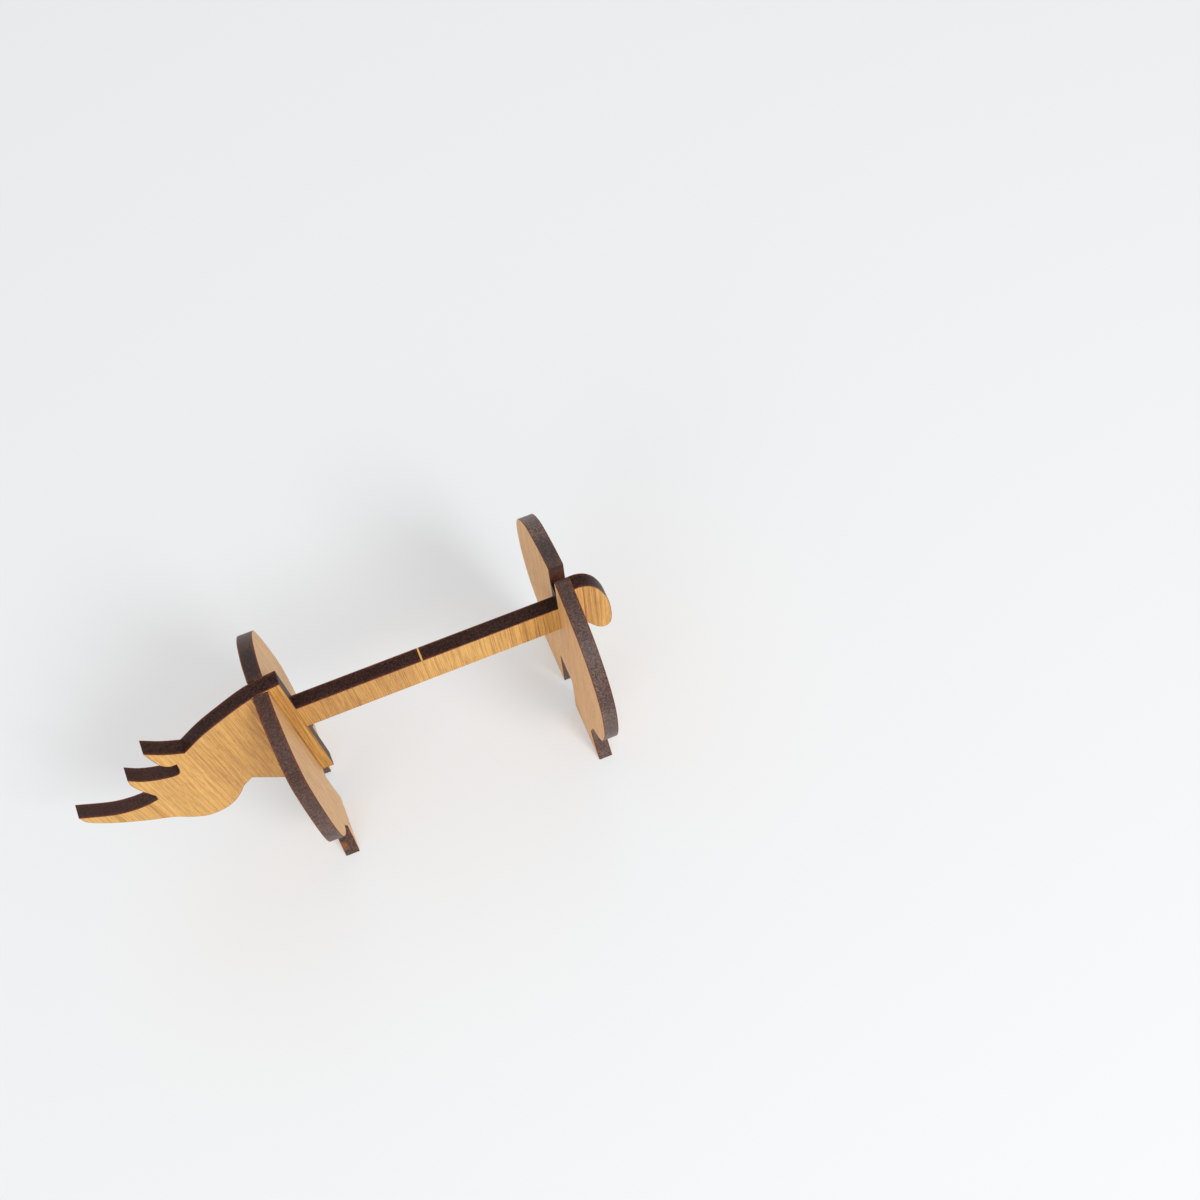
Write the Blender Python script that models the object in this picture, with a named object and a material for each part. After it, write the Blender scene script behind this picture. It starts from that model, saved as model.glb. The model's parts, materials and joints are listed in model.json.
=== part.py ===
# Free-standing toilet roll holder in the shape of a rhinoceros.
# Three flat boards, cut from veneered sheet, slot together with cross laps:
# a long spine board (head, neck, roll bar, rump and tail) drops onto a front
# and a rear leg plate. Lifting the spine off the rear plate lets a roll pass
# over the tail and onto the bar.
#
# Frame: +X runs from the horn to the tail, +Y across the legs to the animal's
# right, +Z up. The origin is on the floor, under the middle of the object.

import math

import bmesh
import bpy

# Sheet and fits
BOARD = 0.006             # thickness of the veneered sheet
SLOT_SLIP = 0.0002        # clearance on each side of a board in its slot
SEAT_GAP = 0.0003         # gap left where two slot ends meet

# Leg plates
STAND_HEIGHT = 0.1075     # floor to the corners beside the slots
FRONT_WIDTH = 0.0794      # widest part of the front plate
REAR_WIDTH = 0.0930       # widest part of the rear plate
LEG_GAP = 0.0134          # space between the two feet of a plate
LEG_GAP_HEIGHT = 0.0270   # floor to the top of that space
LEG_GAP_ROUND = 0.0015    # rounding of its top corners

# Spine board
ROLL_ROOM = 0.1051        # clear length of the bar, neck block to rear plate
BAR_TOP = 0.0865          # height of the bar's upper edge
BAR_HEIGHT = 0.0169       # depth of the bar
NECK_BLOCK = 0.0049       # neck left behind the front plate
NECK_RISE = 0.0016        # top corner of the neck above the leg plates
CHEST_HEIGHT = 0.0272     # floor to the flat under the neck
HEAD_LENGTH = 0.0811      # front plate to the tip of the long horn
RUMP_RISE = 0.0104        # rump above the bar's upper edge
TAIL_LENGTH = 0.0154      # tail behind the rear plate
TAIL_DROP = 0.0119        # lowest point of the tail below the bar

# Curves
CURVE_STEPS = 5           # straight pieces between two points of a curve
ROUND_STEPS = 4           # straight pieces in a rounded corner

# Head outline. Across: shares of HEAD_LENGTH forward of the front plate.
# Up: shares of STAND_HEIGHT. Each row is one smooth curve between two corners.
NAPE_SHARES = [(0.055, 0.974), (0.175, 0.922), (0.290, 0.866), (0.403, 0.794)]
EAR_BACK_SHARES = [(0.403, 0.794), (0.477, 0.836), (0.546, 0.893)]
EAR_FRONT_SHARES = [(0.546, 0.893), (0.543, 0.845), (0.529, 0.772), (0.502, 0.739),
                    (0.469, 0.735)]
BROW_SHARES = [(0.469, 0.735), (0.480, 0.683), (0.503, 0.656), (0.568, 0.668),
               (0.641, 0.702), (0.693, 0.751)]
SHORT_HORN_SHARES = [(0.693, 0.751), (0.699, 0.705), (0.687, 0.642), (0.655, 0.560)]
LONG_HORN_SHARES = [(0.661, 0.527), (0.722, 0.514), (0.790, 0.515), (0.872, 0.537),
                    (1.000, 0.613)]
CHIN_SHARES = [(1.000, 0.613), (0.985, 0.553), (0.900, 0.472), (0.775, 0.390),
               (0.671, 0.334), (0.598, 0.270), (0.530, 0.235), (0.445, 0.241),
               (0.377, 0.278), (0.328, 0.328), (0.297, 0.369), (0.237, 0.413)]
CHEST_SHARE = 0.037       # where the slanted chest meets the flat under the neck

# Tail outline. Along: shares of TAIL_LENGTH behind the rear plate.
# Up: shares of the height from the tail's lowest point to the rump.
TAIL_SHARES = [(0.020, 1.000), (0.250, 0.998), (0.510, 0.940), (0.745, 0.795),
               (0.935, 0.545), (1.000, 0.260), (0.960, 0.060), (0.800, 0.000),
               (0.600, 0.050), (0.400, 0.175), (0.215, 0.305)]

# Leg plate outlines. Across: shares of the plate's half width.
# Up: shares of STAND_HEIGHT. The first row runs from the shoulder to the
# blunt notch above the foot, the second from the notch to the floor.
FRONT_FLANK_SHARES = [(0.310, 0.985), (0.600, 0.930), (0.812, 0.845), (0.905, 0.732),
                      (0.970, 0.590), (1.000, 0.465), (0.980, 0.375), (0.910, 0.297),
                      (0.800, 0.228), (0.690, 0.194)]
FRONT_FOOT_SHARES = [(0.617, 0.109), (0.665, 0.074), (0.740, 0.037), (0.824, 0.000)]
REAR_FLANK_SHARES = [(0.303, 0.972), (0.612, 0.914), (0.846, 0.816), (0.965, 0.708),
                     (1.000, 0.590), (0.982, 0.478), (0.900, 0.366), (0.775, 0.299),
                     (0.662, 0.254)]
REAR_FOOT_SHARES = [(0.574, 0.142), (0.614, 0.095), (0.672, 0.048), (0.746, 0.000)]

# Derived places
SLOT_HALF = BOARD / 2 + SLOT_SLIP
BAR_BOTTOM = BAR_TOP - BAR_HEIGHT
NECK_TOP = STAND_HEIGHT + NECK_RISE
RUMP_TOP = BAR_TOP + RUMP_RISE
TAIL_LOW = BAR_BOTTOM - TAIL_DROP
LAP_SHARE = 0.5           # how far up the spine each lap meets
FRONT_LAP = CHEST_HEIGHT + (STAND_HEIGHT - CHEST_HEIGHT) * LAP_SHARE
REAR_LAP = BAR_BOTTOM + (RUMP_TOP - BAR_BOTTOM) * LAP_SHARE

# Places along the spine, counted from the front face of the front plate.
NECK_END = BOARD + NECK_BLOCK
REAR_PLATE = NECK_END + ROLL_ROOM
REAR_PLATE_BACK = REAR_PLATE + BOARD
TAIL_END = REAR_PLATE_BACK + TAIL_LENGTH
MIDDLE = (TAIL_END - HEAD_LENGTH) / 2


def smooth(points, steps=CURVE_STEPS):
    """Points on an even curve that passes through all the given points."""
    first, second = points[0], points[1]
    last, before = points[-1], points[-2]
    ends_on = [(2 * first[0] - second[0], 2 * first[1] - second[1])]
    ends_on += list(points)
    ends_on.append((2 * last[0] - before[0], 2 * last[1] - before[1]))
    curve = []
    for i in range(1, len(ends_on) - 2):
        a, b, c, d = ends_on[i - 1:i + 3]
        for step in range(steps):
            t = step / steps
            curve.append(tuple(
                0.5 * (2 * b[k] + (c[k] - a[k]) * t
                       + (2 * a[k] - 5 * b[k] + 4 * c[k] - d[k]) * t ** 2
                       + (3 * b[k] - a[k] - 3 * c[k] + d[k]) * t ** 3)
                for k in (0, 1)))
    curve.append(tuple(last))
    return curve


def head_curve(shares):
    return smooth([(-along * HEAD_LENGTH, up * STAND_HEIGHT) for along, up in shares])


def rounded(corner, radius, start_angle, end_angle, steps=ROUND_STEPS):
    """Arc of a rounded corner whose circle has its centre at the given place."""
    arc = []
    for step in range(steps + 1):
        angle = start_angle + (end_angle - start_angle) * step / steps
        arc.append((corner[0] + radius * math.cos(angle),
                    corner[1] + radius * math.sin(angle)))
    return arc


def join(*runs):
    """One closed outline from its runs, each shared corner kept once."""
    outline = []
    for run in runs:
        for point in run:
            if not outline or math.dist(point, outline[-1]) > SEAT_GAP / 10:
                outline.append(point)
    if math.dist(outline[0], outline[-1]) <= SEAT_GAP / 10:
        outline.pop()
    return outline


def spine_outline():
    """Side view of the spine board, in X and Z."""
    nape = [(NECK_END, NECK_TOP), (BOARD / 2, STAND_HEIGHT)]
    nape += [(-along * HEAD_LENGTH, up * STAND_HEIGHT) for along, up in NAPE_SHARES]
    tail_height = RUMP_TOP - TAIL_LOW
    tail = [(REAR_PLATE_BACK + along * TAIL_LENGTH, TAIL_LOW + up * tail_height)
            for along, up in TAIL_SHARES]
    front_slot = [(-SLOT_SLIP, CHEST_HEIGHT),
                  (-SLOT_SLIP, FRONT_LAP + SEAT_GAP),
                  (BOARD + SLOT_SLIP, FRONT_LAP + SEAT_GAP),
                  (BOARD + SLOT_SLIP, CHEST_HEIGHT)]
    rear_slot = [(REAR_PLATE_BACK + SLOT_SLIP, BAR_BOTTOM),
                 (REAR_PLATE_BACK + SLOT_SLIP, REAR_LAP + SEAT_GAP),
                 (REAR_PLATE - SLOT_SLIP, REAR_LAP + SEAT_GAP),
                 (REAR_PLATE - SLOT_SLIP, BAR_BOTTOM)]
    return join(
        smooth(nape),
        head_curve(EAR_BACK_SHARES),
        head_curve(EAR_FRONT_SHARES),
        head_curve(BROW_SHARES),
        head_curve(SHORT_HORN_SHARES),
        head_curve(LONG_HORN_SHARES),
        head_curve(CHIN_SHARES),
        [(-CHEST_SHARE * HEAD_LENGTH, CHEST_HEIGHT)],
        front_slot,
        [(NECK_END, CHEST_HEIGHT), (NECK_END, BAR_BOTTOM)],
        rear_slot[::-1],
        smooth(tail)[::-1],
        [(REAR_PLATE, RUMP_TOP), (REAR_PLATE, BAR_TOP), (NECK_END, BAR_TOP)],
    )


def plate_outline(width, lap, flank_shares, foot_shares):
    """Front view of a leg plate, in Y and Z: one half and its mirror image."""
    half = width / 2
    shoulder = [(SLOT_HALF, STAND_HEIGHT)]
    shoulder += [(across * half, up * STAND_HEIGHT) for across, up in flank_shares]
    foot = [(across * half, up * STAND_HEIGHT) for across, up in foot_shares]
    gap = LEG_GAP / 2
    gap_corner = (gap - LEG_GAP_ROUND, LEG_GAP_HEIGHT - LEG_GAP_ROUND)
    side = join(
        [(SLOT_HALF, lap)],
        smooth(shoulder),
        smooth(foot),
        [(gap, 0)],
        rounded(gap_corner, LEG_GAP_ROUND, 0, math.pi / 2),
    )
    return side + [(-y, z) for y, z in reversed(side)]


def material(name, colour, roughness):
    made = bpy.data.materials.new(name)
    made.use_nodes = True
    shader = made.node_tree.nodes["Principled BSDF"]
    shader.inputs["Base Color"].default_value = (*colour, 1)
    shader.inputs["Roughness"].default_value = roughness
    shader.inputs["Metallic"].default_value = 0
    return made


def board(name, outline, place, across_x, look):
    """Cut a board: an outline extruded to the sheet's thickness.

    across_x is True for a plate that stands across the X axis, whose outline
    is in Y and Z, and False for the spine, whose outline is in X and Z.
    """
    bm = bmesh.new()
    if across_x:
        verts = [bm.verts.new((0, y, z)) for y, z in outline]
        push = (BOARD, 0, 0)
    else:
        verts = [bm.verts.new((x, -BOARD / 2, z)) for x, z in outline]
        push = (0, BOARD, 0)
    face = bm.faces.new(verts)
    grown = bmesh.ops.extrude_face_region(bm, geom=[face])
    moved = [item for item in grown["geom"] if isinstance(item, bmesh.types.BMVert)]
    bmesh.ops.translate(bm, vec=push, verts=moved)
    bmesh.ops.recalc_face_normals(bm, faces=bm.faces)
    mesh = bpy.data.meshes.new(name)
    bm.to_mesh(mesh)
    bm.free()
    mesh.materials.append(look)
    made = bpy.data.objects.new(name, mesh)
    made.location = place
    bpy.context.scene.collection.objects.link(made)
    return made


def main():
    for old in list(bpy.data.objects):
        bpy.data.objects.remove(old, do_unlink=True)

    gold_veneer = material("gold_veneer", (0.62, 0.38, 0.16), 0.50)
    front_veneer = material("front_veneer", (0.56, 0.36, 0.20), 0.52)
    rear_veneer = material("rear_veneer", (0.56, 0.36, 0.19), 0.52)

    # Every board is drawn from the front face of the front plate, then
    # shifted so that the middle of the object is over the origin.
    board("spine", spine_outline(), (-MIDDLE, 0, 0), False, gold_veneer)
    board("front_leg_plate",
          plate_outline(FRONT_WIDTH, FRONT_LAP, FRONT_FLANK_SHARES, FRONT_FOOT_SHARES),
          (-MIDDLE, 0, 0), True, front_veneer)
    board("rear_leg_plate",
          plate_outline(REAR_WIDTH, REAR_LAP, REAR_FLANK_SHARES, REAR_FOOT_SHARES),
          (REAR_PLATE - MIDDLE, 0, 0), True, rear_veneer)


main()
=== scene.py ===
import json
import math

import bmesh
import bpy
import numpy as np
from mathutils import Matrix, Vector


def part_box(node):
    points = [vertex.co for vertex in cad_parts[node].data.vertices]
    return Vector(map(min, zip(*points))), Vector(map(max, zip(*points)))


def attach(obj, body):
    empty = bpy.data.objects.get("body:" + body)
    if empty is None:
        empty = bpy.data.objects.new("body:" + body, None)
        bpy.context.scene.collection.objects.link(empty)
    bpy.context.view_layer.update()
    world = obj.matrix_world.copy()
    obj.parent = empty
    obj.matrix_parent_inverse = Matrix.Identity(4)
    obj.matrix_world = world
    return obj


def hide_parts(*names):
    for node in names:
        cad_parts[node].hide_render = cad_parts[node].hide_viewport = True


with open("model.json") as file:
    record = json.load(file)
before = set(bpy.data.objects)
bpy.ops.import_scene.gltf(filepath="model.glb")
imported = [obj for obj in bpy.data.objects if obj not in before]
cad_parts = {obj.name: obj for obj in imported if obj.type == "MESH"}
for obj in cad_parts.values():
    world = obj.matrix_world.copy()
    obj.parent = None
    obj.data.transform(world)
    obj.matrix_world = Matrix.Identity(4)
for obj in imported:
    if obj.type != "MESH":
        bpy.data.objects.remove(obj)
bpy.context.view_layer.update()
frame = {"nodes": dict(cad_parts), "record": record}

# Sizes, in metres
ARRIS = 0.00008           # softened corner between a face and the cut edge
VENEER = 0.00038          # veneer layer, as seen on the cut edge
SCORCH = 0.00040          # darkened rim that the laser leaves on a face
LAP_GAP = 0.00005         # hairline between boards that cross
SLACK = 0.0004            # an edge this near to a crossing board lies in its lap
TAB_PLACE = 0.0326        # uncut tab on the bar's top edge: X of its middle
TAB_WIDTH = 0.0007
SAME = 1e-6               # two places nearer than this are one
NEAR = 0.0005             # a height this near to the bar's top belongs to it

# How the CAD outlines are followed
CORNER = math.radians(23.5)  # a turn sharper than this is a real corner
CURVE_DETAIL = 3          # pieces made from each straight piece of a CAD curve
LONG_PIECE = 0.006        # metres: a longer piece is a straight run
SHORT_PIECE = 0.0004      # metres: a shorter piece is fine enough as it is
MITRE_LIMIT = 4           # most that a corner moves, in depths of the inset
INSET_CLEAR = 0.97        # share of the depth that an inset point keeps clear
INSET_BACK = 0.8          # a point that is too near the outline backs off by this
INSET_LEAST = 0.02        # share of the depth at which backing off ends
LAP_SCORCH = 0.15         # share of the scorch that shows inside a lap

# Materials of a board, in the order of its slots
FACE, CORE, LOW_RIM, HIGH_RIM, TAB = range(5)


# Outlines
def cut_outline(node, thin):
    """Closed outline of a flat CAD board, as 2-D points, from its own mesh.

    thin is the axis of the board's thickness: 0 for X, 1 for Y. The points
    are (Y, Z) or (X, Z).
    """
    mesh = frame["nodes"][node].data
    low = min(v.co[thin] for v in mesh.vertices)
    across = 1 - thin

    def key(index):
        co = mesh.vertices[index].co
        return (round(co[across], 7), round(co.z, 7))

    border = set()
    for face in mesh.polygons:
        if any(abs(mesh.vertices[i].co[thin] - low) > SAME for i in face.vertices):
            continue
        ring = [key(i) for i in face.vertices]
        for a, b in zip(ring, ring[1:] + ring[:1]):
            if (b, a) in border:
                border.remove((b, a))
            else:
                border.add((a, b))
    follow = dict(border)
    start = min(follow)
    loop = [start]
    while follow[loop[-1]] != start:
        loop.append(follow[loop[-1]])
    loop = [Vector(p) for p in loop]
    area = sum(a.x * b.y - b.x * a.y for a, b in zip(loop, loop[1:] + loop[:1]))
    return loop if area > 0 else loop[::-1]


def turn(a, b, c):
    """The angle that the outline turns through at b."""
    one, two = b - a, c - b
    if one.length < 1e-9 or two.length < 1e-9:
        return 0
    return one.angle(two)


def refine(loop):
    """The outline with its curves made finer and its corners kept."""
    count = len(loop)
    corner = [turn(loop[i - 1], loop[i], loop[(i + 1) % count]) > CORNER for i in range(count)]
    fine = []
    for i in range(count):
        a, b = loop[i], loop[(i + 1) % count]
        before = 2 * a - b if corner[i] else loop[i - 1]
        after = 2 * b - a if corner[(i + 1) % count] else loop[(i + 2) % count]
        length = (b - a).length
        if length > LONG_PIECE or length < SHORT_PIECE:
            fine.append(a)
            continue
        if not corner[i]:
            before = a + (before - a).normalized() * length
        if not corner[(i + 1) % count]:
            after = b + (after - b).normalized() * length
        for step in range(CURVE_DETAIL):
            t = step / CURVE_DETAIL
            fine.append(0.5 * (2 * a + (b - before) * t
                               + (2 * before - 5 * a + 4 * b - after) * t ** 2
                               + (3 * a - before - 3 * b + after) * t ** 3))
    return fine


def inset(loop, depth):
    """The outline moved inwards by a depth, corners mitred, tips kept simple."""
    count = len(loop)
    ways = []
    for i in range(count):
        a, b, c = loop[i - 1], loop[i], loop[(i + 1) % count]
        one, two = (b - a).normalized(), (c - b).normalized()
        left = Vector((-one.y, one.x))
        middle = (left + Vector((-two.y, two.x))).normalized()
        ways.append(middle / max(middle.dot(left), 1 / MITRE_LIMIT))
    here = np.array([tuple(p) for p in loop])
    along = np.roll(here, -1, axis=0) - here
    square = (along ** 2).sum(axis=1)

    def distance(point):
        """From a point to the nearest place on the outline."""
        share = np.clip(((point - here) * along).sum(axis=1) / square, 0, 1)
        return np.hypot(*(here + along * share[:, None] - point).T).min()

    moved = []
    for p, way in zip(loop, ways):
        deep = depth
        while deep > depth * INSET_LEAST:
            if distance(np.array(tuple(p + way * deep))) > deep * INSET_CLEAR:
                break
            deep *= INSET_BACK
        moved.append(p + way * deep)
    return moved


def split_at(loop, places, height):
    """Adds points on a level run of the outline, for a mark that crosses it."""
    out = []
    for a, b in zip(loop, loop[1:] + loop[:1]):
        out.append(a)
        if abs(a.y - b.y) < SAME and abs(a.y - height) < NEAR:
            inside = [p for p in places if min(a.x, b.x) < p < max(a.x, b.x)]
            inside.sort(reverse=a.x > b.x)
            out += [Vector((p, a.y)) for p in inside]
    return out


def on_tab(a, b, tab):
    """Whether the outline's piece from a to b is the top of the uncut tab."""
    if not tab:
        return False
    place, width, height = tab
    level = abs(a.y - b.y) < SAME and abs(a.y - height) < NEAR
    inside = abs((a.x + b.x) / 2 - place) < width / 4
    return level and inside and abs(a.x - b.x) < width * 1.1


def close_laps(loop, laps):
    """Brings the slot walls up to the boards that cross there.

    Gives the outline, and for each point how much of its scorch shows.
    """
    fitted, shown = [], []
    for p in loop:
        x, show = p.x, 1.0
        for low, high in laps:
            for wall, way in ((low, -1), (high, 1)):
                off = (x - wall) * way
                if abs(off) < SLACK:
                    show = LAP_SCORCH
                if LAP_GAP < off < SLACK:
                    x = wall + LAP_GAP * way
        fitted.append(Vector((x, p.y)))
        shown.append(show)
    return fitted, shown


# Boards
def board_rings(loop, t0, t1):
    """The outline of the low face's flat middle, and the rings that it is
    extruded through, up to the high face.

    Each ring has its outline, its place in the thickness, its scorch, and the
    look of the faces that lead to it.
    """
    rim, flat = inset(loop, ARRIS), inset(loop, ARRIS + SCORCH)
    return flat, [
        (rim, t0, 1.0, FACE),
        (loop, t0 + ARRIS, 1.0, LOW_RIM),
        (loop, t0 + VENEER, 1.0, LOW_RIM),
        (loop, (t0 + t1) / 2, 0.0, CORE),
        (loop, t1 - VENEER, 1.0, CORE),
        (loop, t1 - ARRIS, 1.0, HIGH_RIM),
        (rim, t1, 1.0, HIGH_RIM),
        (flat, t1, 0.0, FACE),
    ]


def make_board(node, thin, body, looks, laps, tab=None):
    """A detailed board in the place of a flat CAD node.

    looks are the materials of the faces, the charred core, the veneer's edge
    on the low and on the high side, and the tab. laps are the two faces of
    each board that crosses this one, along the outline's first axis. tab is
    the middle, the width and the height of the uncut tab.
    """
    low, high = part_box(node)
    loop = refine(cut_outline(node, thin))
    if tab:
        place, width, height = tab
        loop = split_at(loop, [place - width / 2, place + width / 2], height)
    loop, shown = close_laps(loop, laps)
    flat, rings = board_rings(loop, low[thin], high[thin])

    def at(point, t):
        return (t, point.x, point.y) if thin == 0 else (point.x, t, point.y)

    bm = bmesh.new()
    burn = bm.verts.layers.float.new("burn")
    cap = bm.faces.new([bm.verts.new(at(p, low[thin])) for p in flat])
    for points, t, burnt, look in rings:
        grown = bmesh.ops.extrude_face_region(bm, geom=[cap, *cap.edges, *cap.verts])
        cap = [part for part in grown["geom"] if isinstance(part, bmesh.types.BMFace)][0]
        for v, p, show in zip(cap.verts, points, shown):
            v.co = at(p, t)
            v[burn] = burnt * show
        for corner, a, b in zip(cap.loops, loop, loop[1:] + loop[:1]):
            side = [face for face in corner.edge.link_faces if face != cap][0]
            side.material_index = TAB if look != FACE and on_tab(a, b, tab) else look
            side.smooth = True
    bmesh.ops.holes_fill(bm, edges=bm.edges)
    bmesh.ops.recalc_face_normals(bm, faces=bm.faces)
    mesh = bpy.data.meshes.new(node + "_board")
    bm.to_mesh(mesh)
    bm.free()
    for look in looks:
        mesh.materials.append(look)
    mesh.set_sharp_from_angle(angle=CORNER)
    piece = bpy.data.objects.new(node + "_board", mesh)
    bpy.context.scene.collection.objects.link(piece)
    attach(piece, body)
    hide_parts(node)


# Node helpers
def group(name, inputs, outputs):
    """A new node group, the values handed in, and the sockets for what it gives."""
    made = bpy.data.node_groups.new(name, "ShaderNodeTree")
    for label, kind, value in inputs:
        socket = made.interface.new_socket(label, in_out="INPUT", socket_type=kind)
        socket.default_value = value
    for label, kind in outputs:
        made.interface.new_socket(label, in_out="OUTPUT", socket_type=kind)
    ins, outs = made.nodes.new("NodeGroupInput"), made.nodes.new("NodeGroupOutput")
    return made, ins.outputs, outs.inputs


class Tree:
    """Short calls for making and joining shader nodes."""

    def __init__(self, tree):
        self.tree = tree

    def node(self, kind):
        return self.tree.nodes.new(kind)

    def link(self, source, target):
        self.tree.links.new(source, target)

    def put(self, value, socket):
        if isinstance(value, bpy.types.NodeSocket):
            self.link(value, socket)
        else:
            socket.default_value = value

    def math(self, operation, *values, clamp=False):
        n = self.node("ShaderNodeMath")
        n.operation, n.use_clamp = operation, clamp
        for value, socket in zip(values, n.inputs):
            self.put(value, socket)
        return n.outputs[0]

    def plus(self, first, *others, clamp=False):
        """The sum of some values. clamp keeps the whole sum within 0 to 1."""
        for other in others[:-1]:
            first = self.math("ADD", first, other)
        return self.math("ADD", first, others[-1], clamp=clamp)

    def minus(self, a, b):
        return self.math("SUBTRACT", a, b)

    def times(self, a, b):
        return self.math("MULTIPLY", a, b)

    def vector(self, operation, a, b, output="Vector"):
        n = self.node("ShaderNodeVectorMath")
        n.operation = operation
        self.put(a, n.inputs[0])
        self.put(b, n.inputs[1])
        return n.outputs[output]

    def split(self, vector):
        """The X, Y and Z of a vector."""
        n = self.node("ShaderNodeSeparateXYZ")
        self.link(vector, n.inputs[0])
        return n.outputs[0], n.outputs[1], n.outputs[2]

    def join(self, x=0.0, y=0.0, z=0.0):
        n = self.node("ShaderNodeCombineXYZ")
        for value, socket in zip((x, y, z), n.inputs):
            self.put(value, socket)
        return n.outputs[0]

    def place(self):
        return self.node("ShaderNodeTexCoord").outputs["Object"]

    def attribute(self, name):
        n = self.node("ShaderNodeAttribute")
        n.attribute_name = name
        return n.outputs["Fac"]

    def noise(self, vector, scale, detail=2.0, rough=0.5):
        n = self.node("ShaderNodeTexNoise")
        self.put(vector, n.inputs["Vector"])
        n.inputs["Scale"].default_value = scale
        n.inputs["Detail"].default_value = detail
        n.inputs["Roughness"].default_value = rough
        return n.outputs["Fac"]

    def cells(self, vector, scale):
        """How far each place is from the middle of its grain, and the grain's shade."""
        n = self.node("ShaderNodeTexVoronoi")
        self.put(vector, n.inputs["Vector"])
        n.inputs["Scale"].default_value = scale
        return n.outputs["Distance"], self.split(n.outputs["Color"])[0]

    def band(self, value, low, high, to_low=0.0, to_high=1.0):
        """A soft step from to_low, where the value is low, to to_high."""
        n = self.node("ShaderNodeMapRange")
        n.interpolation_type = "SMOOTHSTEP"
        for given, label in ((value, "Value"), (low, "From Min"), (high, "From Max"),
                             (to_low, "To Min"), (to_high, "To Max")):
            self.put(given, n.inputs[label])
        return n.outputs["Result"]

    def mix(self, factor, a, b, blend="MIX"):
        n = self.node("ShaderNodeMix")
        n.data_type, n.blend_type = "RGBA", blend
        self.put(factor, n.inputs[0])
        self.put(a, n.inputs[6])
        self.put(b, n.inputs[7])
        return n.outputs[2]


def colour(r, g, b):
    """Linear colour from the 0 to 255 values that a screen shows."""
    def one(value):
        value /= 255
        return value / 12.92 if value <= 0.04045 else ((value + 0.055) / 1.055) ** 2.4
    return (one(r), one(g), one(b), 1.0)


# Veneer
# The patterns in the wood. Each has its repeats for each metre across the
# grain, through it and along it, then its detail and its roughness. Two have
# a shift too, which keeps them apart from the fine lines.
WOOD_PATTERNS = {
    "broad": ((150, 700, 4.0), 2.0, 0.55, None),
    "growth": ((1300, 700, 13.0), 1.0, 0.5, None),
    "fine": ((3000, 900, 42.0), 1.0, 0.5, None),
    "fibre": ((2500, 2600, 110), 2.0, 0.65, None),
    "pores": ((2300, 2600, 320), 1.0, 0.5, None),
    "thin": ((2700, 900, 18.0), 0.0, 0.4, (0.23, 0.41, 0.13)),
    "bright": ((2600, 900, 14.0), 0.0, 0.4, (0.31, 0.17, 0.05)),
}
WANDER = (60, 400, 14)    # repeats for each metre of the lines' slow wander
WANDER_REACH = 0.0007     # metres from one side of the wander to the other
DEEP_GOLD_AND_SHADE_TINT = (0.87, 0.77, 0.36, 1.0)
SCORCHED = (104, 54, 34)


def wood_patterns(t, place):
    """Each pattern's value at a place, with lines that wander a little sideways."""
    wander = t.noise(t.vector("MULTIPLY", place, WANDER), 1.0, 1.0)
    shift = t.join(t.times(t.minus(wander, 0.5), WANDER_REACH))
    moved = t.vector("ADD", place, shift)
    made = {}
    for name, (repeats, detail, rough, apart) in WOOD_PATTERNS.items():
        start = t.vector("ADD", moved, apart) if apart else moved
        made[name] = t.noise(t.vector("MULTIPLY", start, repeats), 1.0, detail, rough)
    return made


def wood_base(t, wood, ins):
    """Growth bands and fine lines between the middle and the light colour."""
    tone = t.plus(t.times(t.band(wood["broad"], 0.3, 0.7), 0.20),
                  t.times(t.band(wood["growth"], 0.25, 0.75), 0.28),
                  t.times(t.band(wood["fine"], 0.32, 0.68), 0.56))
    tone = t.plus(0.5, t.times(t.minus(tone, 0.5), ins["Contrast"]), clamp=True)
    base = t.mix(tone, ins["Middle"], ins["Light"])
    pale_lines = t.times(t.band(wood["bright"], 0.56, 0.62), t.times(ins["Contrast"], 0.8))
    return t.mix(pale_lines, base, ins["Light"])


def wood_dark(t, wood, ins):
    """How much of the dark colour shows: lines, streaks, fibres and pores."""
    deep, lines = ins["DeepAndShade"], ins["Lines"]
    thin_share = t.times(lines, t.plus(0.30, t.times(deep, 0.6)))
    streak = t.plus(deep, t.times(t.minus(wood["fine"], 0.5), 0.9))
    return t.plus(t.times(t.band(wood["thin"], 0.60, 0.67), thin_share),
                  t.times(t.band(wood["fine"], 0.48, 0.28), t.times(lines, 0.17)),
                  t.times(t.band(wood["growth"], 0.48, 0.30), t.times(deep, 0.6)),
                  ins["Brown"],
                  t.band(streak, 0.75, 1.20, 0.0, 0.6),
                  t.times(t.band(wood["fibre"], 0.40, 0.75), t.times(ins["Contrast"], 0.28)),
                  t.times(t.band(wood["pores"], 0.57, 0.72), 0.22), clamp=True)


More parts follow.
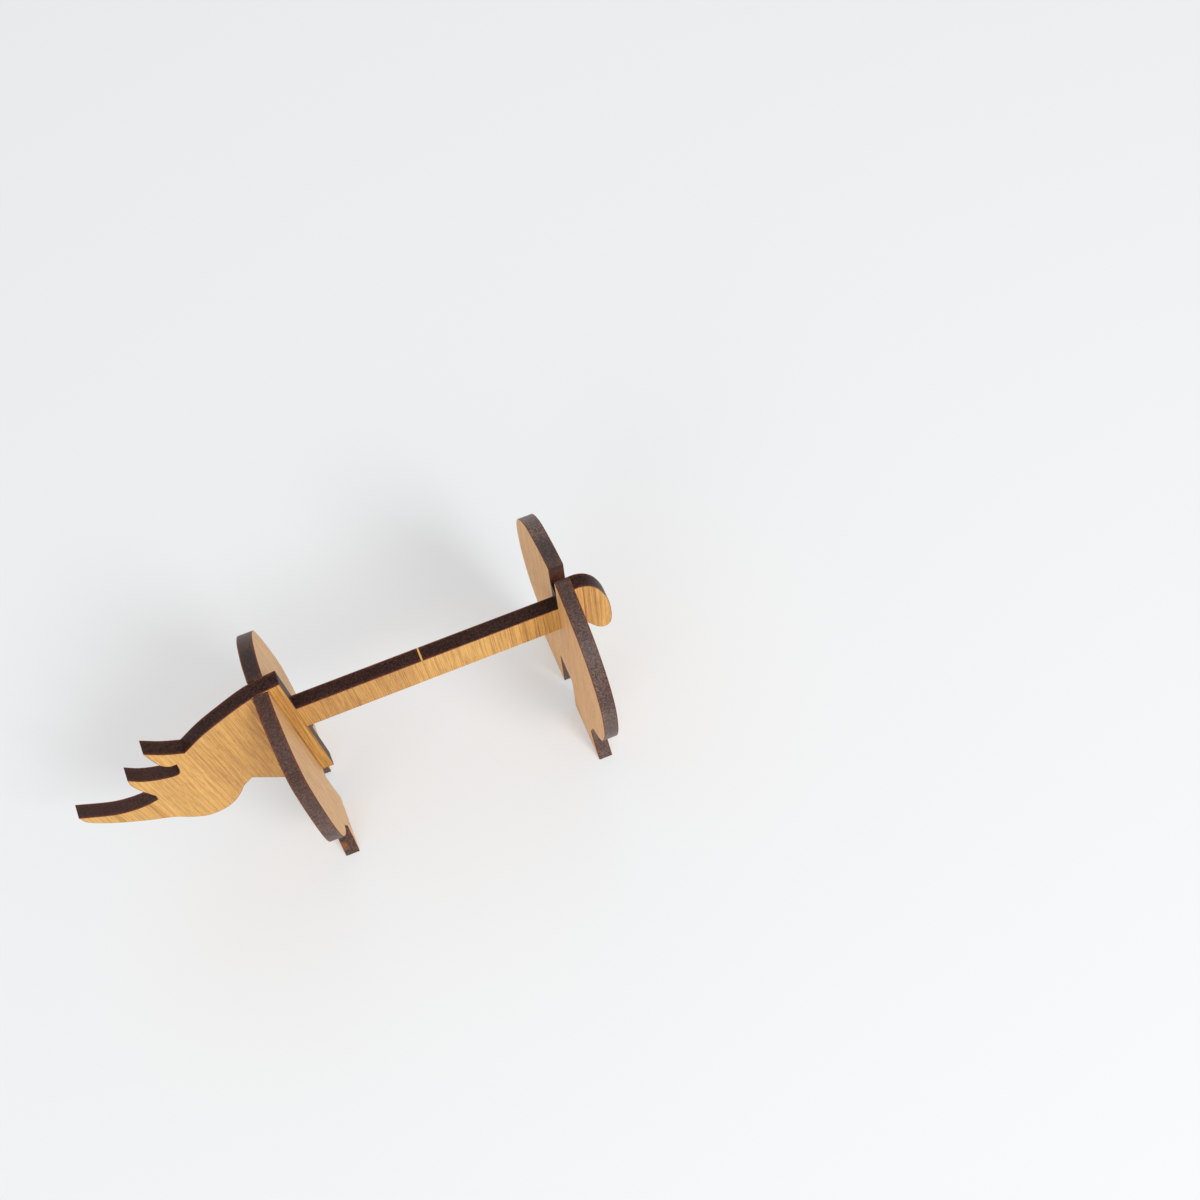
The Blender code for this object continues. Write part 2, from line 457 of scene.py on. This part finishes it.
def veneer_group():
    """Straight-grained veneer. The place handed in has the grain along Z."""
    made, ins, outs = group(
        "veneer_grain",
        [("Place", "NodeSocketVector", (0, 0, 0)),
         ("Light", "NodeSocketColor", colour(240, 186, 116)),
         ("Middle", "NodeSocketColor", colour(216, 156, 94)),
         ("Dark", "NodeSocketColor", colour(150, 94, 52)),
         ("Contrast", "NodeSocketFloat", 1.0),
         ("Lines", "NodeSocketFloat", 1.0),
         ("DeepAndShade", "NodeSocketFloat", 0.0),
         ("Brown", "NodeSocketFloat", 0.0),
         ("Scorch", "NodeSocketFloat", 0.0)],
        [("Color", "NodeSocketColor"), ("Roughness", "NodeSocketFloat"),
         ("Height", "NodeSocketFloat")])
    t = Tree(made)
    wood = wood_patterns(t, ins["Place"])
    tinted = t.mix(wood_dark(t, wood, ins), wood_base(t, wood, ins), ins["Dark"])
    # Deep darkens toward a deeper gold: the wood's own stripes, and painted shade next to the
    # plates.
    tinted = t.mix(ins["DeepAndShade"], tinted, DEEP_GOLD_AND_SHADE_TINT, "MULTIPLY")
    scorch = t.times(t.math("POWER", ins["Scorch"], 1.6), 0.8)
    t.link(t.mix(scorch, tinted, colour(*SCORCHED)), outs["Color"])
    t.link(t.plus(0.42, t.times(wood["fibre"], 0.2)), outs["Roughness"])
    t.link(t.minus(t.times(wood["fibre"], 0.7), t.times(wood["pores"], 0.5)), outs["Height"])
    return made


# Charred fibreboard
# Repeats for each metre of the patterns in the char.
CLOUD, DRIFT, GRIT, GRAINS = 1000, 45, 1350, 2500
CHAR_BY_VENEER = (112, 56, 38)


def char_group():
    """Laser-charred fibreboard: near black, redder by the veneers, with pale ash."""
    made, ins, outs = group(
        "charred_core",
        [("Place", "NodeSocketVector", (0, 0, 0)),
         ("Dark", "NodeSocketColor", colour(50, 33, 30)),
         ("Warm", "NodeSocketColor", colour(78, 50, 44)),
         ("Ash", "NodeSocketColor", colour(120, 108, 104)),
         ("Ashes", "NodeSocketFloat", 0.4),
         ("Edge", "NodeSocketFloat", 0.0)],
        [("Color", "NodeSocketColor"), ("Roughness", "NodeSocketFloat"),
         ("Height", "NodeSocketFloat")])
    t = Tree(made)
    place = ins["Place"]
    cloud = t.noise(place, CLOUD, 3.0, 0.85)
    drift = t.noise(place, DRIFT, 1.0, 0.5)
    grit = t.noise(place, GRIT, 3.0, 0.85)
    distance, shade = t.cells(place, GRAINS)
    base = t.mix(t.band(cloud, 0.3, 0.72), ins["Dark"], ins["Warm"])
    near_veneer = t.times(t.band(ins["Edge"], 0.55, 1.0), t.band(cloud, 0.35, 0.65, 0.25, 1.0))
    base = t.mix(t.times(near_veneer, 0.55), base, colour(*CHAR_BY_VENEER))
    base = t.mix(t.times(t.band(grit, 0.42, 0.62), 0.8), base, ins["Dark"])
    specks = t.plus(t.times(t.band(distance, 0.75, 0.15), t.band(shade, 0.25, 0.85, 0.0, 0.80)),
                    t.band(grit, 0.56, 0.42, 0.0, 0.40))
    # Where the amount handed in grows toward the bottom of a plate's edge, that growth is
    # painted sheen; the specks themselves are ash.
    ash = t.times(t.times(specks, ins["Ashes"]), t.band(drift, 0.35, 0.65, 0.45, 1.0))
    t.link(t.mix(ash, base, ins["Ash"]), outs["Color"])
    t.link(t.minus(0.58, t.times(grit, 0.26)), outs["Roughness"])
    t.link(t.plus(t.times(grit, 0.5), t.times(specks, 0.4)), outs["Height"])
    return made


VENEER_GRAIN = veneer_group()
CHARRED = char_group()


# Materials
def shader(name, specular):
    made = bpy.data.materials.new(name)
    made.use_nodes = True
    bsdf = made.node_tree.nodes["Principled BSDF"]
    bsdf.inputs["Specular IOR Level"].default_value = specular
    return made, Tree(made.node_tree), bsdf


def shared_look(t, looks, values):
    """A shared effect placed in a material, with its own values or links."""
    n = t.node("ShaderNodeGroup")
    n.node_tree = looks
    for label, value in values.items():
        t.put(value, n.inputs[label])
    return n.outputs


def finish_surface(t, bsdf, shown, look, strength, distance):
    t.link(shown, bsdf.inputs["Base Color"])
    t.link(look["Roughness"], bsdf.inputs["Roughness"])
    bump = t.node("ShaderNodeBump")
    bump.inputs["Strength"].default_value = strength
    bump.inputs["Distance"].default_value = distance
    t.link(look["Height"], bump.inputs["Height"])
    t.link(bump.outputs["Normal"], bsdf.inputs["Normal"])


def stripes(t, along, places):
    """Soft stripes along the board, for the wood and for painted shade: each has a middle, a
    reach and a strength.
    """
    total = 0.0
    for middle, reach, strength in places:
        off = t.math("ABSOLUTE", t.minus(along, middle))
        total = t.plus(total, t.band(off, reach * 0.6, reach, strength, 0.0))
    return total


def veneer(name, light, middle, dark, contrast, start, across=False,
           calm=None, deep=(), brown=()):
    """A veneered face. across is True where the board lies across the X axis.

    start is where the board was cut from the wood's pattern. calm is a range
    of X over which the dark lines fade in. deep lists stripes of a deeper gold,
    some of them painted shade next to the plates, and brown lists browner ones,
    by their X.
    """
    made, t, bsdf = shader(name, 0.35)
    place = t.place()
    x, y, z = t.split(place)
    if across:
        place = t.join(y, x, z)
    values = {
        "Place": t.vector("ADD", place, start),
        "Light": colour(*light), "Middle": colour(*middle), "Dark": colour(*dark),
        "Contrast": contrast, "Lines": contrast,
        "Scorch": t.attribute("burn"),
    }
    if calm:
        values["Lines"] = t.band(x, calm[0], calm[1], 0.5, 1.0)
    if deep:
        values["DeepAndShade"] = stripes(t, x, deep)
    if brown:
        values["Brown"] = stripes(t, x, brown)
    look = shared_look(t, VENEER_GRAIN, values)
    finish_surface(t, bsdf, look["Color"], look, 0.25, 0.0001)
    return made


def charred(name, dark, warm, ash, ashes, specular=0.2, ash_and_sheen_heights=None, spots=()):
    """A cut edge, burnt by the laser.

    clean is a pair of heights: there is little ash above the first, and the
    full amount below the second. The ash specks are real; their growth down the
    edge is painted sheen, which makes the lower edge lighter. spots are places
    (middle, reach, strength, colour) painted another colour: patches burnt less
    or more, painted sheen and painted shade.
    """
    made, t, bsdf = shader(name, specular)
    place = t.place()
    values = {
        "Place": place, "Dark": colour(*dark), "Warm": colour(*warm), "Ash": colour(*ash),
        "Ashes": ashes, "Edge": t.attribute("burn"),
    }
    # More ash lower down: real ash, with painted sheen in its growth toward the lower edge.
    if ash_and_sheen_heights:
        values["Ashes"] = t.band(t.split(place)[2], ash_and_sheen_heights[0], ash_and_sheen_heights[1], ashes * 0.25, ashes)
    look = shared_look(t, CHARRED, values)
    shown = look["Color"]
    for middle, reach, strength, tint in spots:
        away = t.vector("DISTANCE", place, middle, "Value")
        ragged = t.plus(away, t.times(t.minus(t.noise(place, 900, 2.0), 0.5), reach))
        shown = t.mix(t.band(ragged, reach * 0.35, reach, strength, 0.0), shown, colour(*tint))
    finish_surface(t, bsdf, shown, look, 0.5, 0.00012)
    return made


# Gold veneer of the spine. Its stripes stand at fixed places along the board,
# from the horn's tip to the tail: middle, reach and strength. Some of the deep
# ones are painted shade next to the plates.
DEEP_GOLD_AND_PAINTED_SHADE = (
    (-0.0983, 0.0008, 0.85), (-0.0854, 0.0009, 0.70),
    # At -0.0213, against the front plate's back face, a narrow painted contact shade; at
    # -0.0190 the neck's deeper gold.
    (-0.0213, 0.0010, 0.22), (-0.0190, 0.0040, 0.30),
    # By the rear plate: painted shade with painted warm bounce light, deepening the bar's end.
    (0.0780, 0.0090, 0.40), (0.0850, 0.0050, 0.08),
)
BROWN_STRIPES = (
    (-0.0430, 0.0200, 0.12), (-0.0206, 0.0003, 0.30), (-0.0198, 0.0003, 0.22),
    (0.0070, 0.0260, 0.26), (0.0570, 0.0300, 0.04),
    (0.0987, 0.0006, 0.42), (0.1009, 0.0004, 0.25), (0.1031, 0.0005, 0.36),
)
gold = veneer("gold_veneer_face", (229, 180, 99), (194, 141, 74), (138, 80, 36),
              contrast=1.0, start=(0.37, 0.11, 0.05), calm=(-0.034, -0.024),
              deep=DEEP_GOLD_AND_PAINTED_SHADE, brown=BROWN_STRIPES)

# Veneers of the leg plates
front = veneer("front_veneer_face", (229, 187, 133), (205, 162, 110), (158, 108, 66),
               contrast=1.05, start=(0.9, 0.5, 0.2), across=True)
rear = veneer("rear_veneer_face", (234, 184, 120), (211, 161, 101), (160, 102, 62),
              contrast=1.05, start=(1.7, 0.8, 0.4), across=True)

# Places on the cut edges painted another colour: a painted sheen on the horn, painted shade at
# the plates' far tips, and patches that were burnt less or more than the rest
# A painted sheen: the horn's cut edge made paler.
HORN_SHEEN = ((-0.0950, 0.0, 0.0750), 0.0450, 0.22, (100, 78, 74))
FRONT_FOOT_PATCH = ((-0.0277, -0.0300, 0.0044), 0.0028, 0.75, (150, 84, 44))
# Painted shade: the front plate's far tip darkened toward black.
FRONT_FAR_TIP_SHADE = ((-0.0252, 0.0110, 0.1060), 0.0120, 0.6, (24, 14, 12))
REAR_SLOT_PATCH = ((0.0910, 0.0035, 0.0980), 0.0085, 0.5, (96, 42, 26))
# Painted shade: the rear plate's far tip darkened toward black.
REAR_FAR_TIP_SHADE = ((0.0910, 0.0130, 0.1050), 0.0090, 0.5, (24, 14, 12))

# Cut edges: the charred core, the veneer's edge on each side, and the tab
spine_core = charred("spine_charred_core", (27, 14, 12), (62, 37, 31), (104, 78, 68),
                     0.35, specular=0.09, spots=[HORN_SHEEN])
front_core = charred("front_charred_core", (44, 25, 19), (94, 61, 49), (158, 128, 112),
                     0.46, specular=0.30, ash_and_sheen_heights=(0.106, 0.060),
                     spots=[FRONT_FOOT_PATCH, FRONT_FAR_TIP_SHADE])
rear_core = charred("rear_charred_core", (40, 25, 21), (88, 58, 49), (176, 148, 134),
                    0.58, specular=0.36, ash_and_sheen_heights=(0.1075, 0.1005),
                    spots=[REAR_SLOT_PATCH, REAR_FAR_TIP_SHADE])
dark_rim = charred("dark_scorched_rim", (80, 40, 28), (120, 62, 40), (150, 100, 70), 0.3)
brown_rim = charred("brown_scorched_rim", (84, 48, 32), (150, 98, 60), (190, 140, 92), 0.35)
uncut = charred("uncut_tab", (206, 150, 78), (226, 176, 104), (236, 196, 130), 0.5)


# The three boards
def span(node, axis):
    """The two places along an axis where a CAD node begins and ends."""
    low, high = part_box(node)
    return (low[axis], high[axis])


def mount_height(name):
    return [m for m in frame["record"]["mounts"] if m["name"] == name][0]["pos_m"][2]


make_board("spine", 1, "spine",
           [gold, spine_core, dark_rim, dark_rim, uncut],
           [span("front_leg_plate", 0), span("rear_leg_plate", 0)],
           tab=(TAB_PLACE, TAB_WIDTH, mount_height("roll_bar_top")))
make_board("front_leg_plate", 0, "front_legs",
           [front, front_core, brown_rim, dark_rim], [span("spine", 1)])
make_board("rear_leg_plate", 0, "rear_legs",
           [rear, rear_core, dark_rim, dark_rim], [span("spine", 1)])

# Floor
FLOOR_REACH = 6.0         # metres from its middle to each edge
BACKDROP_SHARE = 0.30     # how much of the floor, as seen, is the plain backdrop


def floor_material():
    """Pale and matt. What the camera sees is part lit floor, part plain backdrop."""
    made, t, bsdf = shader("pale_floor", 0.2)
    bsdf.inputs["Base Color"].default_value = colour(231, 233, 234)
    bsdf.inputs["Roughness"].default_value = 0.75
    backdrop = t.node("ShaderNodeEmission")
    backdrop.inputs["Color"].default_value = colour(238, 239, 240)
    rays = t.node("ShaderNodeLightPath").outputs
    seen = t.plus(rays["Is Camera Ray"], rays["Is Glossy Ray"],
                  rays["Is Transmission Ray"], clamp=True)
    blend = t.node("ShaderNodeMixShader")
    t.link(t.times(seen, BACKDROP_SHARE), blend.inputs[0])
    t.link(bsdf.outputs[0], blend.inputs[1])
    t.link(backdrop.outputs[0], blend.inputs[2])
    t.link(blend.outputs[0], made.node_tree.nodes["Material Output"].inputs["Surface"])
    return made


def floor():
    bm = bmesh.new()
    bmesh.ops.create_grid(bm, x_segments=1, y_segments=1, size=FLOOR_REACH)
    mesh = bpy.data.meshes.new("floor")
    bm.to_mesh(mesh)
    bm.free()
    mesh.materials.append(floor_material())
    piece = bpy.data.objects.new("floor", mesh)
    bpy.context.scene.collection.objects.link(piece)


floor()

# Light
WORLD_LIGHT = 0.72


def lamp(name, place, aim, size, watts):
    """A round soft light: its place and what it is aimed at, in metres."""
    data = bpy.data.lights.new(name, "AREA")
    data.shape, data.size, data.energy = "DISK", size, watts
    made = bpy.data.objects.new(name, data)
    made.location = place
    made.rotation_mode = "QUATERNION"
    made.rotation_quaternion = (Vector(aim) - Vector(place)).to_track_quat("-Z", "Y")
    bpy.context.scene.collection.objects.link(made)


world = bpy.data.worlds.new("studio")
world.use_nodes = True
sky = world.node_tree.nodes["Background"]
sky.inputs["Color"].default_value = (1.0, 1.0, 1.0, 1.0)
sky.inputs["Strength"].default_value = WORLD_LIGHT
bpy.context.scene.world = world
lamp("key", (0.76, -1.42, 1.45), (0.0, 0.0, 0.0), size=0.8, watts=21.0)
lamp("fill", (-0.9, -1.2, 0.9), (0.0, 0.0, 0.0), size=1.0, watts=4.5)
lamp("back", (0.3, 1.5, 1.3), (0.0, 0.2, 0.0), size=1.2, watts=2.0)

# Camera
# The view fitted to the photograph: where the camera stands, and which way its
# right, up and back point. The shift puts the lens's middle where the fit has it.
CAMERA_PLACE = (0.03425, -0.2272, 0.5271)
RIGHT = Vector((0.92105, -0.38916, -0.01501))
UP = Vector((0.36922, 0.86028, 0.35156))
BACK = Vector((-0.12391, -0.32935, 0.93604))

camera = bpy.data.cameras.new("camera")
camera.sensor_width = 36.0
camera.lens = 38.6385
camera.shift_x, camera.shift_y = -0.03333, 0.13333
camera.clip_start, camera.clip_end = 0.01, 50.0
stand = bpy.data.objects.new("camera", camera)
turned = Matrix((RIGHT, UP, BACK)).transposed().to_4x4()
stand.matrix_world = Matrix.Translation(CAMERA_PLACE) @ turned
bpy.context.scene.collection.objects.link(stand)
bpy.context.scene.camera = stand

bpy.context.scene.view_settings.view_transform = "Standard"
